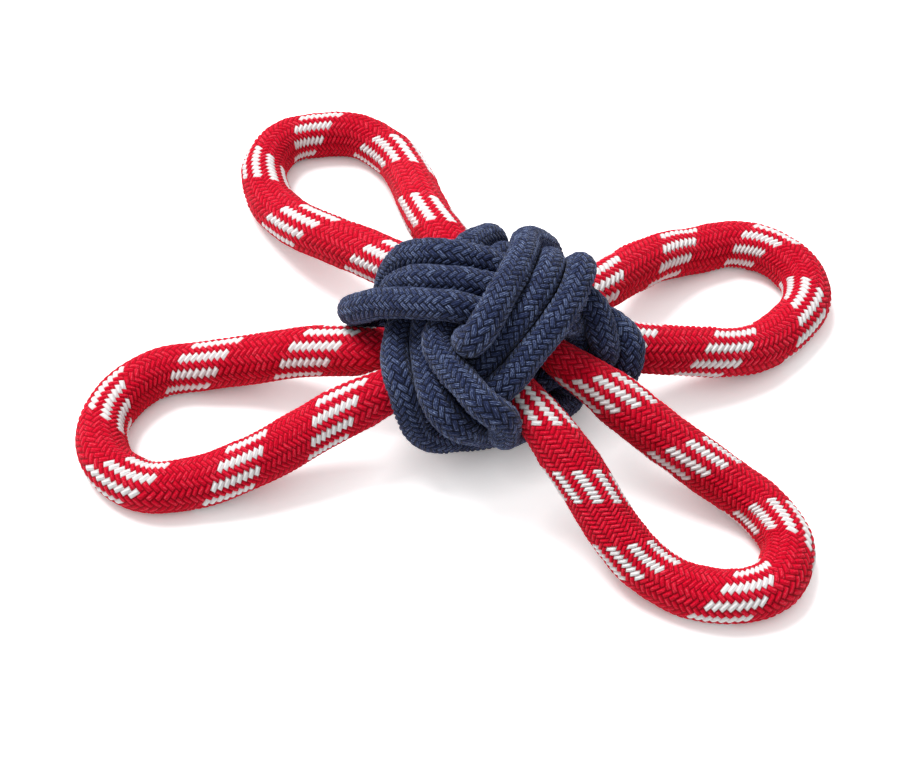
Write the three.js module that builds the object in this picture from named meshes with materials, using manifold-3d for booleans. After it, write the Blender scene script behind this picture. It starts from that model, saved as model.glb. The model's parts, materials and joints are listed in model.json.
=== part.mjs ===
// A rope toy for dogs: two thick red braided ropes cross and make four open loops, and a thinner navy rope
// is tied round their crossing as a monkey's fist of three turns each way.
// Millimetres, +Z up. The toy lies on its loops and its knot, and the origin is the middle of its footprint.
import * as THREE from "three";
import { mergeVertices } from "three/addons/utils/BufferGeometryUtils.js";
import Module from "manifold-3d";

const wasm = await Module();
wasm.setup();

// Driving sizes, in millimetres
const RED_DIAMETER = 18; // free braided rope of the loops
const RED_SQUEEZED = 12; // the same rope where the knot squeezes it
const RED_WALL = 3; // thickness of its braided cover
const SQUEEZE_FROM = 24; // distance from the knot's axis where the rope starts to swell again
const SQUEEZE_TO = 48; // and where it has its full diameter
const NAVY_DIAMETER = 8.8; // the navy rope, pressed hard in the knot
const STRAND_GAP = 1.4; // between two neighbouring strands of it
const NAVY_PITCH = NAVY_DIAMETER + STRAND_GAP;
const CORE_BALL = 32.8; // diameter of the ball that the squeezed red ropes fill
const KNOT_CENTRE = [2.24, 4.03, 35.5]; // middle of the knot, from the ropes' crossing and the floor
const CLEARANCE = 0.3; // gap between two pieces that touch
const PRESS = 0.5; // how deep the navy strands press into the soft red covers
const BINDING_LENGTH = 18; // thread binding over the joint of a red rope
const BINDING_WALL = 1.1;
const TAIL_BINDING_LENGTH = 6; // thread binding on each cut end of the navy rope
const TAIL_BINDING_WALL = 0.8;
const FLOOR_BLOCK = 60; // thickness of the block that trims the undersides flat

// Counts
const RED_SIDES = 10;
const CORE_SIDES = 8;
const NAVY_SIDES = 6;
const LOOP_STEPS = 18;
const RUN_STEPS = 14;
const BINDING_STEPS = 3;
const NAVY_STEPS = 230;

// Shares
const FLAT_SHARE = 0.1; // of a rope's diameter, trimmed where it lies on the floor
const INSIDE_SHARE = Math.cos(Math.PI / CORE_SIDES); // of a faceted bore's radius, clear all round
const COMPRESSED_CORE_SHARE = (RED_DIAMETER - 2 * RED_WALL) / RED_DIAMETER;

// Routes of the two closed red ropes, points chosen by hand from the knot's axis and the floor.
// The long rope makes the left and the right loop and lies low in the knot.
const LONG_ROUTE = [
  [-20, 11.6, 31], [-36, 14.5, 29], [-48, 22, 25], [-62, 31, 19], [-77, 38, 13], [-92, 43.5, 9],
  [-108, 47, 7.2], [-123, 42, 7.2], [-134, 29, 7.2], [-135.5, 12, 7.2], [-125, -2, 7.2], [-107, -6.5, 8.5],
  [-89, -7.5, 13], [-72, -6, 18], [-55, -4.5, 24], [-38, -4, 29], [-20, -1.8, 31], [0, -1.7, 31],
  [20, -2, 31], [38, -5, 28.5], [55, -8.5, 23], [70, -10, 18], [86, -11.5, 13], [101, -10, 9],
  [115, -4, 7.2], [128, 6, 7.2], [132, 20, 7.2], [126, 35, 7.2], [114, 43, 7.2], [99, 43.5, 8],
  [85, 41, 12], [71, 35, 17], [57, 27, 22], [42, 18.5, 27.5], [20, 12, 31], [0, 11.4, 31],
];
const LONG_CUTS = { left: [3, 13], right: [21, 31], joint: 35, mirror: 16 };
// The cross rope makes the front and the back loop and lies over the long rope.
const CROSS_ROUTE = [
  [-2.2, -16, 43.5], [2, -31, 40], [8, -46, 33], [13.5, -60, 25], [18, -74, 17], [25, -87, 10],
  [35, -98, 7.2], [49, -105.5, 7.2], [64, -105, 7.2], [74, -93, 7.2], [72.5, -77.5, 7.8], [63.5, -65, 12],
  [52.5, -54, 19], [42, -43, 26], [30.5, -30, 34], [17, -16, 42], [10.2, 3, 44], [4.4, 24, 43],
  [1, 44, 38.5], [0, 62, 33], [1, 80, 26], [3.5, 98, 18], [5.5, 116, 10.5], [3.5, 133, 7.2],
  [-6, 147, 7.2], [-21, 153, 7.2], [-37, 152, 7.2], [-47.5, 140, 7.2], [-50, 123, 8.5], [-47.5, 107, 12],
  [-42, 92, 17], [-34.5, 78, 22], [-27, 64, 27], [-19.5, 48, 33], [-12, 27, 41], [-4, 5, 44],
];
const CROSS_CUTS = { front: [3, 13], back: [19, 32], joint: 35, mirror: 15 };

const TAU = 2 * Math.PI;
const lerp = THREE.MathUtils.lerp;
const radians = THREE.MathUtils.degToRad;
const knotCentre = new THREE.Vector3(...KNOT_CENTRE);

// Materials
const redCover = { color: 0xbf0f2d, roughness: 0.85, metalness: 0 };
const redCore = { color: 0xd8cdbb, roughness: 0.95, metalness: 0 };
const navyRope = { color: 0x2d324a, roughness: 0.9, metalness: 0 };
const redThread = { color: 0x7a0a1c, roughness: 0.7, metalness: 0 };
const navyThread = { color: 0x1b1f33, roughness: 0.7, metalness: 0 };

const toy = new THREE.Group();

function addPiece(name, geometry, material) {
  const mesh = new THREE.Mesh(geometry, new THREE.MeshStandardMaterial(material));
  mesh.name = name;
  toy.add(mesh);
}

// Solids

function toSolid(geometry) {
  geometry.deleteAttribute("normal");
  geometry.deleteAttribute("uv");
  const merged = mergeVertices(geometry);
  return new wasm.Manifold(
    new wasm.Mesh({
      numProp: 3,
      vertProperties: new Float32Array(merged.getAttribute("position").array),
      triVerts: new Uint32Array(merged.index.array),
    }),
  );
}

function toGeometry(solid) {
  const mesh = solid.getMesh();
  const geometry = new THREE.BufferGeometry();
  geometry.setAttribute("position", new THREE.BufferAttribute(mesh.vertProperties, 3));
  geometry.setIndex(new THREE.BufferAttribute(mesh.triVerts, 1));
  return geometry;
}

// The underside of what lies on the floor is trimmed flat at the floor.
function trimAtFloor(geometry) {
  geometry.computeBoundingBox();
  const size = geometry.boundingBox.getSize(new THREE.Vector3());
  const middle = geometry.boundingBox.getCenter(new THREE.Vector3());
  const block = new THREE.BoxGeometry(size.x + FLOOR_BLOCK, size.y + FLOOR_BLOCK, FLOOR_BLOCK);
  block.translate(middle.x, middle.y, -FLOOR_BLOCK / 2);
  return toGeometry(toSolid(geometry).subtract(toSolid(block)));
}

// Rope routes

class Stretch extends THREE.Curve {
  constructor(route, from, to) {
    super();
    this.route = route;
    this.from = from;
    this.to = to;
  }
  getPoint(t, target = new THREE.Vector3()) {
    const share = lerp(this.from, this.to, t);
    return this.route.getPointAt(share - Math.floor(share), target);
  }
}

function closedRoute(points) {
  const route = new THREE.CatmullRomCurve3(
    points.map((p) => new THREE.Vector3(...p)), true, "catmullrom", 0.5);
  route.arcLengthDivisions = points.length * 20;
  return route;
}

// The share of a closed route's length at which it passes one of its points.
function shareAt(route, index) {
  const lengths = route.getLengths();
  const turns = Math.floor(index / route.points.length);
  const inside = index - turns * route.points.length;
  const total = lengths[lengths.length - 1];
  return turns + lengths[Math.round((inside / route.points.length) * (lengths.length - 1))] / total;
}

// The stretch between two points of a route, shortened by half a clearance at each end.
function stretchBetween(route, first, last) {
  const trim = CLEARANCE / 2 / route.getLength();
  return new Stretch(route, shareAt(route, first) + trim, shareAt(route, last) - trim);
}

// The squeezed rope swells to its full radius as it leaves the knot.
function swell(point) {
  const out = Math.hypot(point.x, point.y);
  const share = THREE.MathUtils.clamp((out - SQUEEZE_FROM) / (SQUEEZE_TO - SQUEEZE_FROM), 0, 1);
  return lerp(RED_SQUEEZED, RED_DIAMETER, share) / 2;
}

// Tubes

function ringPolygon(radius, sides, reversed) {
  const points = [];
  for (let i = 0; i < sides; i++) {
    const angle = (TAU * (reversed ? -i : i)) / sides;
    points.push(new THREE.Vector2(radius * Math.cos(angle), radius * Math.sin(angle)));
  }
  return points;
}

// A rope of one section along a stretch, with a bore where it is a cover.
function ropeAlong(stretch, steps, radius, sides, bore = 0) {
  const section = new THREE.Shape(ringPolygon(radius, sides, false));
  if (bore) section.holes.push(new THREE.Path(ringPolygon(bore, CORE_SIDES, true)));
  const options = { steps, extrudePath: stretch, bevelEnabled: false };
  return new THREE.ExtrudeGeometry(section, options);
}

function evenShares(steps) {
  return Array.from({ length: steps + 1 }, (_, i) => i / steps);
}

// Frames at shares of a curve that turn as little as they can from one to the next.
function framesAlong(curve, shares) {
  const first = curve.getTangent(shares[0]);
  let normal = Math.abs(first.z) > Math.SQRT1_2 ? new THREE.Vector3(1, 0, 0) : new THREE.Vector3(0, 0, 1);
  return shares.map((share) => {
    const along = curve.getTangent(share);
    normal = normal.clone().addScaledVector(along, -normal.dot(along)).normalize();
    return { centre: curve.getPoint(share), normal, side: along.clone().cross(normal) };
  });
}

// One closed body from rings at shares of a curve, with a bore where inner radii are given.
function ringTube(curve, shares, radii, sides, bores = null) {
  const frames = framesAlong(curve, shares);
  const layers = bores ? [radii, bores] : [radii];
  const position = [];
  for (const layer of layers) {
    frames.forEach(({ centre, normal, side }, i) => {
      for (let k = 0; k < sides; k++) {
        const angle = (TAU * k) / sides;
        const place = centre.clone();
        place.addScaledVector(normal, layer[i] * Math.cos(angle));
        place.addScaledVector(side, layer[i] * Math.sin(angle));
        position.push(...place.toArray());
      }
    });
  }
  const index = [];
  const last = frames.length - 1;
  const at = (layer, ring, k) => (layer * frames.length + ring) * sides + (k % sides);
  const quad = (a, b, c, d) => index.push(a, b, c, a, c, d);
  for (let k = 0; k < sides; k++) {
    for (let ring = 0; ring < last; ring++) {
      quad(at(0, ring, k), at(0, ring, k + 1), at(0, ring + 1, k + 1), at(0, ring + 1, k));
      if (bores) quad(at(1, ring, k), at(1, ring + 1, k), at(1, ring + 1, k + 1), at(1, ring, k + 1));
    }
    if (bores) {
      quad(at(0, 0, k), at(1, 0, k), at(1, 0, k + 1), at(0, 0, k + 1));
      quad(at(0, last, k), at(0, last, k + 1), at(1, last, k + 1), at(1, last, k));
    }
  }
  if (!bores) {
    for (let k = 1; k < sides - 1; k++) {
      index.push(at(0, 0, 0), at(0, 0, k + 1), at(0, 0, k));
      index.push(at(0, last, 0), at(0, last, k), at(0, last, k + 1));
    }
  }
  const geometry = new THREE.BufferGeometry();
  geometry.setAttribute("position", new THREE.Float32BufferAttribute(position, 3));
  geometry.setIndex(index);
  return geometry;
}

// The red ropes

const longRope = closedRoute(LONG_ROUTE);
const crossRope = closedRoute(CROSS_ROUTE);

function addLoop(name, route, [first, last]) {
  const stretch = stretchBetween(route, first, last);
  const bore = RED_DIAMETER / 2 - RED_WALL;
  const cover = ropeAlong(stretch, LOOP_STEPS, RED_DIAMETER / 2, RED_SIDES, bore);
  addPiece(name + "_cover", trimAtFloor(cover), redCover);
  addPiece(name + "_core", ropeAlong(stretch, LOOP_STEPS, bore - CLEARANCE, CORE_SIDES), redCore);
}

// A run passes through the knot. At a joint its end is drawn in by the thread that binds it.
function addRun(name, route, first, last, jointEnd = 0) {
  const stretch = stretchBetween(route, first, last);
  const neck = BINDING_LENGTH / 2 / (route.getLength() * (stretch.to - stretch.from));
  const shares = evenShares(RUN_STEPS);
  if (jointEnd > 0) shares.splice(RUN_STEPS, 0, 1 - neck);
  if (jointEnd < 0) shares.splice(1, 0, neck);
  shares.sort((a, b) => a - b);
  const radii = shares.map((share) => {
    const fromJoint = jointEnd > 0 ? 1 - share : share;
    const bound = jointEnd !== 0 && fromJoint < neck * (1 + 1 / RUN_STEPS);
    return swell(stretch.getPoint(share)) - (bound ? BINDING_WALL + CLEARANCE : 0);
  });
  const bores = radii.map((radius) => radius * COMPRESSED_CORE_SHARE - PRESS);
  const cores = bores.map((bore) => bore - CLEARANCE);
  const outer = radii.map((radius) => radius - PRESS);
  addPiece(name + "_cover", ringTube(stretch, shares, outer, CORE_SIDES, bores), redCover);
  addPiece(name + "_core", ringTube(stretch, shares, cores, CORE_SIDES), redCore);
}

function addJointBinding(name, route, index) {
  const middle = shareAt(route, index);
  const half = (BINDING_LENGTH / 2 - CLEARANCE) / route.getLength();
  const stretch = new Stretch(route, middle - half, middle + half);
  const shares = evenShares(BINDING_STEPS);
  const outer = shares.map((share) => swell(stretch.getPoint(share)) - PRESS);
  const inner = outer.map((radius) => radius - BINDING_WALL);
  addPiece(name, ringTube(stretch, shares, outer, CORE_SIDES, inner), redThread);
}

const routeLength = LONG_ROUTE.length;
addLoop("left_loop", longRope, LONG_CUTS.left);
addLoop("right_loop", longRope, LONG_CUTS.right);
addLoop("front_loop", crossRope, CROSS_CUTS.front);
addLoop("back_loop", crossRope, CROSS_CUTS.back);
addRun("long_rope_front_run", longRope, LONG_CUTS.left[1], LONG_CUTS.right[0]);
addRun("long_rope_back_run_right", longRope, LONG_CUTS.right[1], LONG_CUTS.joint, 1);
addRun("long_rope_back_run_left", longRope, LONG_CUTS.joint, LONG_CUTS.left[0] + routeLength, -1);
addJointBinding("long_rope_joint_binding", longRope, LONG_CUTS.joint);
addRun("cross_rope_right_run", crossRope, CROSS_CUTS.front[1], CROSS_CUTS.back[0]);
addRun("cross_rope_left_run_back", crossRope, CROSS_CUTS.back[1], CROSS_CUTS.joint, 1);
addRun("cross_rope_left_run_front", crossRope, CROSS_CUTS.joint, CROSS_CUTS.front[0] + routeLength, -1);
addJointBinding("cross_rope_joint_binding", crossRope, CROSS_CUTS.joint);

// The monkey's fist: three turns round each of three axes, laid large and drawn tight round the red ropes.

const TURNS = [3.174, 2.75, 2.975]; // turns of the three bands, in the order that they are tied
const START_TURNS = [-3.338, 0.625, 0.375]; // where each band starts, in turns from its outer side
const AXIS_ONE = [137.34, 57.7]; // azimuth and elevation in degrees
const AXIS_THREE = [231.39, -3.59]; // the same, before it is squared to the first
const LAID_POINTS = 40; // points of a turn as it is laid
const NODES = 360; // nodes of the navy rope while it is drawn tight
const LAID_OUTER_SHARE = 7.557; // half sizes of a turn as it is laid, in strand pitches
const LAID_INNER_SHARE = 5.3;
const CORNER_SHARE = 0.536; // how square the turns are laid
const DRAWN_STEP_SHARE = 0.304; // length of rope between two nodes that the pull aims at, in pitches
const PAIR_ROUNDS = 8; // rounds from one search for contacts to the next
const REACH_SHARE = 0.47; // in pitches, how far away contacts are looked for
const BEND_SHARE = 1.6; // in pitches of rope, the nearest that one rope can come back to itself
const TAIL_SHARE = 0.343; // how far in the rope's two ends go as the knot closes
const TAIL_PULL = 0.3; // of the way that is left, in a round
const CORE_OFFSET_SHARES = [0, 0.105, 0.33]; // of the pitch, along the three axes
const SAMPLE_SHARE = 0.165; // of a red rope's diameter, between points where it is felt
const FELT_OUT_SHARE = 6; // of a red rope's diameter from the axis
const PAIR_OUT_SHARE = 3.9;
const PAIR_GAP_SHARE = 1.9;
const PAIR_BALL_SHARE = 0.9;
const SHAPE_FROM = 0.3; // share of the drawing after which the fist is shaped, softly at first
// Three stages. In each round of one, the rope is smoothed by its stiffness, a share of the way to the
// middle of its neighbours, brought to its length and pushed off what it touches, by a power of the contacts.
const DRAW = { rounds: 800, stiffness: 0.27, lengths: 3, contacts: 1, spread: 0.3, guide: 0.3 };
const COMB = { rounds: 300, stiffness: 0.2, lengths: 0, contacts: 6, spread: 0.5, guide: 0.6 };
const SETTLE = { rounds: 60, stiffness: 0.1, lengths: 1, contacts: 12, spread: 0.5, guide: 0 };
const COMB_EVEN_ROUNDS = 4; // while it is combed, its nodes are spaced evenly again after so many rounds
const COMB_REACH_COUNT = 13; // nodes either side of a guide's middle from which the nearest is taken
const LAST_STIFFNESS = 0.25;
// The turns are pressed into a ball while they are drawn, but for the nodes of the rope's two ends.
const GRIP = { radius: 32.18, strength: 0.25 };
const GRIP_FREE_COUNTS = [14, 4];
// The first turn is drawn out behind the left loop's upper leg, and hides there.
const TUG = { turn: 0.2, point: [-41, 32.8, 27.05], width: 2.5, least: 0.02, strength: 0.295 };
// The turns that show on top are led over points set by hand. Of a guide's nodes, its first two numbers, the
// nearest one is pulled over the point, free along the line from the sight point, above the three bands.
const SIGHT_POINT = [-135.7, -372.9, 486.7];
const GUIDE = { width: 1.5, reach: 3 };
const GUIDES = [
  [10, 28, [[-45.4, 21.9, 44.3], [-28.4, 20.9, 45.7], [-18.4, 1.5, 61.5], [-9.9, -8.7, 64.2]]],
  [48, 68, [[-27.5, 23.7, 48.6], [-15.3, 11.2, 62.3], [-5.3, -2.1, 67.4]]],
  [88, 108, [[-24.9, 27.8, 53.1], [-10.6, 26.3, 55], [-1, 3.7, 68.4]]],
  [222, 240, [[15, 7.8, 65], [1.7, -7.8, 66.8], [-9.3, -15.7, 60.5]]],
  [178, 198, [[19.1, -1.5, 62.9], [5, -13.9, 63.7], [-7.8, -20.5, 56.7]]],
  [138, 158, [[28.5, -4.1, 52.3], [10, -20.4, 57.1], [-5, -26.5, 48.4]]],
  [258, 278, [[-18.9, -9, 58.3], [-18.4, -18.7, 49.8], [-13, -26, 38.4], [0.3, -27.3, 24.9]]],
  [298, 318, [[-24.6, -0.6, 54.8], [-26.4, -11.7, 43.2], [-22.2, -17.3, 28.2], [-7.6, -21.9, 15.8]]],
  [338, 356, [[-28.9, 13.9, 39.1], [-33.3, 2.1, 28.4], [-32.2, -9.8, 19.5], [-22.8, -19, 14.5]]],
  [106, 122, [[32.5, -7.1, 40.3], [32, -13.6, 35]]],
];

function direction([azimuth, elevation]) {
  const a = radians(azimuth);
  const e = radians(elevation);
  return new THREE.Vector3(Math.cos(e) * Math.cos(a), Math.cos(e) * Math.sin(a), Math.sin(e));
}

// The first band runs round the third axis, the second round the first, and the third round the second.
const axisOne = direction(AXIS_ONE);
const axisThree = direction(AXIS_THREE);
axisThree.addScaledVector(axisOne, -axisThree.dot(axisOne)).normalize();
const axisTwo = axisOne.clone().cross(axisThree);

function fromKnotAxes(one, two, three) {
  const place = knotCentre.clone();
  place.addScaledVector(axisOne, one);
  place.addScaledVector(axisTwo, two);
  return place.addScaledVector(axisThree, three);
}

// The rope as it is laid: each band wraps the one before it, and the third passes inside the first.
function laidRope() {
  const outer = LAID_OUTER_SHARE * NAVY_PITCH;
  const inner = LAID_INNER_SHARE * NAVY_PITCH;
  const squared = (value) => Math.sign(value) * Math.abs(value) ** CORNER_SHARE;
  const bands = [
    { step: 1, order: (u, v, w) => [u, v, w] },
    { step: -1, order: (u, v, w) => [w, u, v] },
    { step: 1, order: (u, v, w) => [v, w, u] },
  ];
  const points = [];
  bands.forEach(({ step, order }, band) => {
    const count = Math.ceil(TURNS[band] * LAID_POINTS);
    for (let i = 0; i < count; i++) {
      const turn = i / LAID_POINTS;
      const angle = TAU * (START_TURNS[band] + step * turn);
      const across = step * NAVY_PITCH * (1 - (2 * turn) / TURNS[band]);
      const place = order(outer * squared(Math.cos(angle)), inner * squared(Math.sin(angle)), across);
      points.push(fromKnotAxes(...place));
    }
  });
  return points;
}

// Points spaced evenly along a line of points.
function evenly(points, count) {
  const along = [0];
  for (let i = 1; i < points.length; i++) along.push(along[i - 1] + points[i].distanceTo(points[i - 1]));
  const total = along[along.length - 1];
  const result = [];
  let segment = 0;
  for (let i = 0; i < count; i++) {
    const at = (total * i) / (count - 1);
    while (segment < points.length - 2 && along[segment + 1] < at) segment++;
    const share = (at - along[segment]) / (along[segment + 1] - along[segment]);
    result.push(points[segment].clone().lerp(points[segment + 1], Math.min(share, 1)));
  }
  return result;
}

// What the navy rope feels: balls along both red ropes, between the legs of each pair, and one in the middle.
function redBalls() {
  const balls = [];
  for (const [route, cuts] of [[longRope, LONG_CUTS], [crossRope, CROSS_CUTS]]) {
    const count = Math.floor(route.getLength() / (SAMPLE_SHARE * RED_DIAMETER));
    for (let i = 0; i < count; i++) {
      const t = route.getUtoTmapping(i / count);
      const point = route.getPoint(t);
      const out = Math.hypot(point.x, point.y);
      if (out > FELT_OUT_SHARE * RED_DIAMETER) continue;
      balls.push({ point, radius: swell(point) + CLEARANCE });
      const mirrored = cuts.mirror / route.points.length - t;
      const other = route.getPoint(mirrored - Math.floor(mirrored));
      const near = point.distanceTo(other) < PAIR_GAP_SHARE * RED_DIAMETER;
      if (out < PAIR_OUT_SHARE * RED_DIAMETER && near) {
        balls.push({ point: point.clone().lerp(other, 0.5), radius: PAIR_BALL_SHARE * swell(point) });
      }
    }
  }
  const middle = fromKnotAxes(...CORE_OFFSET_SHARES.map((share) => share * NAVY_PITCH));
  balls.push({ point: middle, radius: CORE_BALL / 2 });
  return balls;
}

// Near pairs of the rope's own nodes, and near pairs of a node and a ball.
function nearPairs(nodes, balls, step) {
  const reach = REACH_SHARE * NAVY_PITCH;
  const skip = Math.ceil((BEND_SHARE * NAVY_PITCH) / step);
  const own = [];
  const felt = [];
  nodes.forEach((node, i) => {
    for (let j = i + skip; j < nodes.length; j++) {
      if (node.distanceTo(nodes[j]) < NAVY_PITCH + reach) own.push([i, j]);
    }
    balls.forEach((ball) => {
      if (node.distanceTo(ball.point) < NAVY_PITCH / 2 + ball.radius + reach) felt.push([i, ball]);
    });
  });
  return { own, felt };
}

function pushApart(nodes, pairs, spread) {
  const push = nodes.map(() => new THREE.Vector3());
  const count = nodes.map(() => 0);
  const gap = new THREE.Vector3();
  for (const [i, j] of pairs.own) {
    const distance = gap.subVectors(nodes[i], nodes[j]).length();
    if (distance >= NAVY_PITCH) continue;
    gap.multiplyScalar((NAVY_PITCH - distance) / (2 * distance));
    push[i].add(gap);
    push[j].sub(gap);
    count[i] += 1;
    count[j] += 1;
  }
  for (const [i, ball] of pairs.felt) {
    const distance = gap.subVectors(nodes[i], ball.point).length();
    const need = NAVY_PITCH / 2 + ball.radius - distance;
    if (need <= 0) continue;
    push[i].addScaledVector(gap, need / distance);
    count[i] += 1;
  }
  nodes.forEach((node, i) => node.addScaledVector(push[i], 1 / Math.max(count[i], 1) ** spread));
}

function keepLengths(nodes, step) {
  const gap = new THREE.Vector3();
  for (const first of [0, 1]) {
    for (let i = first; i + 1 < nodes.length; i += 2) {
      const length = gap.subVectors(nodes[i + 1], nodes[i]).length();
      gap.multiplyScalar((length - step) / (2 * length));
      nodes[i].add(gap);
      nodes[i + 1].sub(gap);
    }
  }
}

function smooth(nodes, share) {
  const before = nodes.map((node) => node.clone());
  for (let i = 1; i < nodes.length - 1; i++) {
    const middle = before[i - 1].clone().add(before[i + 1]).multiplyScalar(0.5);
    nodes[i].lerp(middle, share);
  }
}

function meanStep(nodes) {
  let total = 0;
  for (let i = 1; i < nodes.length; i++) total += nodes[i].distanceTo(nodes[i - 1]);
  return total / (nodes.length - 1);
}

// How much a node that is some nodes away takes part in a pull.
const takesPart = (away, width) => Math.exp(-0.5 * (away / width) ** 2);

function tug(nodes, strength) {
  const middle = Math.round((TUG.turn / (TURNS[0] + TURNS[1] + TURNS[2])) * (NODES - 1));
  const pull = new THREE.Vector3(...TUG.point).sub(nodes[middle]);
  nodes.forEach((node, i) => {
    const weight = takesPart(i - middle, TUG.width);
    if (weight > TUG.least) node.addScaledVector(pull, strength * weight);
  });
}

function grip(nodes, strength) {
  const [first, last] = GRIP_FREE_COUNTS;
  for (let i = first; i < NODES - last; i++) {
    const out = nodes[i].clone().sub(knotCentre);
    const over = out.length() - GRIP.radius;
    if (over > 0) nodes[i].addScaledVector(out, (-strength * over) / out.length());
  }
}

const sightPoint = new THREE.Vector3(...SIGHT_POINT);
const guides = GUIDES.flatMap(([from, to, points]) => points.map((point) => {
  const goal = new THREE.Vector3(...point);
  const middle = Math.floor((from + to) / 2);
  return { from, to, middle, goal, free: goal.clone().sub(sightPoint).normalize() };
}));

function lead(nodes, { goal, free }, from, to, strength) {
  let nearest;
  let pull;
  for (let i = Math.max(from, 0); i < Math.min(to, NODES); i++) {
    const way = goal.clone().sub(nodes[i]);
    way.addScaledVector(free, -way.dot(free));
    if (pull && way.lengthSq() >= pull.lengthSq()) continue;
    nearest = i;
    pull = way;
  }
  for (let away = -GUIDE.reach; away <= GUIDE.reach; away++) {
    const node = nodes[nearest + away];
    if (node) node.addScaledVector(pull, strength * takesPart(away, GUIDE.width));
  }
}

function pushOff(nodes, pairs, { contacts, spread }) {
  const floor = NAVY_DIAMETER * (0.5 - FLAT_SHARE);
  for (let pass = 0; pass < contacts; pass++) pushApart(nodes, pairs, spread);
  nodes.forEach((node) => node.setZ(Math.max(node.z, floor)));
}

// The ends come in and the rope gets shorter, while it is shaped by the guides, the tug and the grip.
function drawTight(nodes, balls) {
  const ends = [nodes[0], nodes[NODES - 1]].map((node) => node.clone().sub(knotCentre));
  const laidStep = meanStep(nodes);
  let pairs;
  for (let round = 0; round < DRAW.rounds; round++) {
    const drawn = round / DRAW.rounds;
    const step = lerp(laidStep, DRAWN_STEP_SHARE * NAVY_PITCH, drawn);
    if (round % PAIR_ROUNDS === 0) pairs = nearPairs(nodes, balls, step);
    smooth(nodes, DRAW.stiffness);
    ends.forEach((end, i) => {
      const goal = knotCentre.clone().addScaledVector(end, lerp(1, TAIL_SHARE, drawn));
      nodes[i * (NODES - 1)].lerp(goal, TAIL_PULL);
    });
    const shaped = (drawn - SHAPE_FROM) / (1 - SHAPE_FROM);
    if (shaped > 0) {
      guides.forEach((guide) => lead(nodes, guide, guide.from, guide.to, DRAW.guide * shaped));
      tug(nodes, TUG.strength * shaped);
      grip(nodes, GRIP.strength * shaped);
    }
    for (let pass = 0; pass < DRAW.lengths; pass++) keepLengths(nodes, step);
    pushOff(nodes, pairs, DRAW);
  }
}

// Slack is combed out along the rope, over the guides.
function comb(nodes, balls) {
  const ends = [nodes[0].clone(), nodes[NODES - 1].clone()];
  let pairs;
  for (let round = 0; round < COMB.rounds; round++) {
    if (round % COMB_EVEN_ROUNDS === 0) evenly(nodes, NODES).forEach((node, i) => nodes[i].copy(node));
    if (round % PAIR_ROUNDS === 0) pairs = nearPairs(nodes, balls, meanStep(nodes));
    smooth(nodes, COMB.stiffness);
    ends.forEach((end, i) => nodes[i * (NODES - 1)].copy(end));
    for (const guide of guides) {
      const { middle } = guide;
      lead(nodes, guide, middle - COMB_REACH_COUNT, middle + COMB_REACH_COUNT + 1, COMB.guide);
    }
    pushOff(nodes, pairs, COMB);
  }
}

// The last stage: strands come to rest where they touch.
function settle(nodes, balls) {
  const ends = [nodes[0].clone(), nodes[NODES - 1].clone()];
  const step = meanStep(nodes);
  let pairs;
  for (let round = 0; round < SETTLE.rounds; round++) {
    if (round % PAIR_ROUNDS === 0) pairs = nearPairs(nodes, balls, step);
    smooth(nodes, SETTLE.stiffness);
    ends.forEach((end, i) => nodes[i * (NODES - 1)].copy(end));
    keepLengths(nodes, step);
    pushOff(nodes, pairs, SETTLE);
  }
  smooth(nodes, LAST_STIFFNESS);
}

function tiedRope() {
  const nodes = evenly(laidRope(), NODES);
  const balls = redBalls();
  drawTight(nodes, balls);
  comb(nodes, balls);
  settle(nodes, balls);
  return nodes;
}

// The least gap between two strands of the same rope, measured on points of its middle line.
function leastGap(points, radius) {
  const step = meanStep(points);
  const skip = Math.ceil((2 * NAVY_PITCH) / step);
  let least = Infinity;
  for (let i = 0; i < points.length; i++) {
    for (let j = i + skip; j < points.length; j++) {
      least = Math.min(least, points[i].distanceTo(points[j]));
    }
  }
  return least - 2 * radius;
}

// The least gap between the navy rope and the red ropes, measured in the same way.
function leastGapToRed(points, radius) {
  let least = Infinity;
  for (const route of [longRope, crossRope]) {
    for (const red of route.getSpacedPoints(Math.round(route.getLength()))) {
      for (const point of points) least = Math.min(least, point.distanceTo(red) - swell(red));
    }
  }
  return least - radius;
}

const navyRoute = new THREE.CatmullRomCurve3(tiedRope(), false, "catmullrom", 0.5);
const navyLength = navyRoute.getLength();
const navyPoints = navyRoute.getPoints(NAVY_STEPS * 4);
const navyRadius = NAVY_DIAMETER / 2;
console.log("navy rope " + navyLength.toFixed(0) + " mm, least gap to itself "
  + leastGap(navyPoints, navyRadius).toFixed(2) + " mm, to the red ropes "
  + leastGapToRed(navyPoints, navyRadius).toFixed(2) + " mm");

// Both cut ends are bound with thread, so that they don't fray, and the rope necks in under it.
const tail = TAIL_BINDING_LENGTH / navyLength;
const play = CLEARANCE / navyLength;
const necked = [0, tail + play];
const full = evenShares(NAVY_STEPS).map((share) => lerp(tail + 2 * play, 1 - tail - 2 * play, share));
const navyShares = [...necked, ...full, ...necked.map((share) => 1 - share).reverse()];
const neckRadius = (navyRadius - TAIL_BINDING_WALL) * INSIDE_SHARE - CLEARANCE;
const navyRadii = navyShares.map((share, i) =>
  i < necked.length || i >= necked.length + full.length ? neckRadius : navyRadius);
addPiece("navy_monkeys_fist", trimAtFloor(ringTube(navyRoute, navyShares, navyRadii, NAVY_SIDES)), navyRope);

function addTailBinding(name, from, to) {
  const shares = evenShares(BINDING_STEPS).map((share) => lerp(from, to, share));
  const outer = shares.map(() => navyRadius);
  const inner = shares.map(() => navyRadius - TAIL_BINDING_WALL);
  addPiece(name, ringTube(navyRoute, shares, outer, CORE_SIDES, inner), navyThread);
}
addTailBinding("navy_first_end_binding", play, tail - 2 * play);
addTailBinding("navy_last_end_binding", 1 - tail + 2 * play, 1 - play);

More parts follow.
